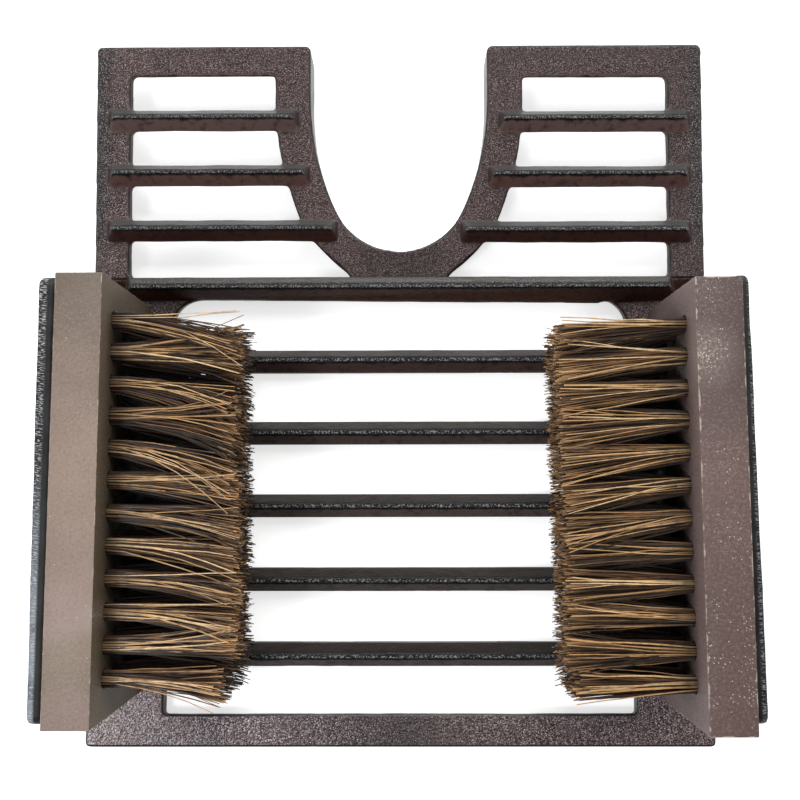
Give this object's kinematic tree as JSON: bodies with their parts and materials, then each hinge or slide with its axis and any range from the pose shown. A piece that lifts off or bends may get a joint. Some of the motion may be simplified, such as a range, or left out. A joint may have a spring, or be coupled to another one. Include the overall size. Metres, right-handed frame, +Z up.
{
  "type": "boot scraper",
  "caption": "Cast iron boot scraper: ridged bars in a low frame, a slotted boot jack with a U-shaped heel notch behind, and a wooden brush screwed to an upright cheek on each side.",
  "frame": {"origin": "on the floor, under the middle of the whole part's box", "axes": "+Y from the front bar towards the boot jack, +X to the right-hand brush, +Z up"},
  "size_m": [0.3012, 0.3348, 0.082],
  "materials": {
    "iron": "dark brown-black paint over rough cast iron, worn along the ridges",
    "left_block_paint": "worn taupe paint",
    "right_block_paint": "worn dark taupe paint with pale flecks",
    "fibre": "stiff brown plant fibre",
    "steel": "zinc-plated steel"
  },
  "bodies": {
    "root": {"base_frame": "iron", "scraper_bar_1": "iron", "scraper_bar_2": "iron", "scraper_bar_3": "iron", "scraper_bar_4": "iron", "scraper_bar_5": "iron", "boot_jack": "iron", "left_cheek": "iron", "right_cheek": "iron", "left_brush_block": "left_block_paint", "left_bristles_1": "fibre", "left_bristles_2": "fibre", "left_bristles_3": "fibre", "left_bristles_4": "fibre", "left_tuft_anchors": "steel", "left_brush_screws": "steel", "left_screw_washers": "steel", "right_brush_block": "right_block_paint", "right_bristles_1": "fibre", "right_bristles_2": "fibre", "right_bristles_3": "fibre", "right_bristles_4": "fibre", "right_tuft_anchors": "steel", "right_brush_screws": "steel", "right_screw_washers": "steel"}
  },
  "joints": []
}
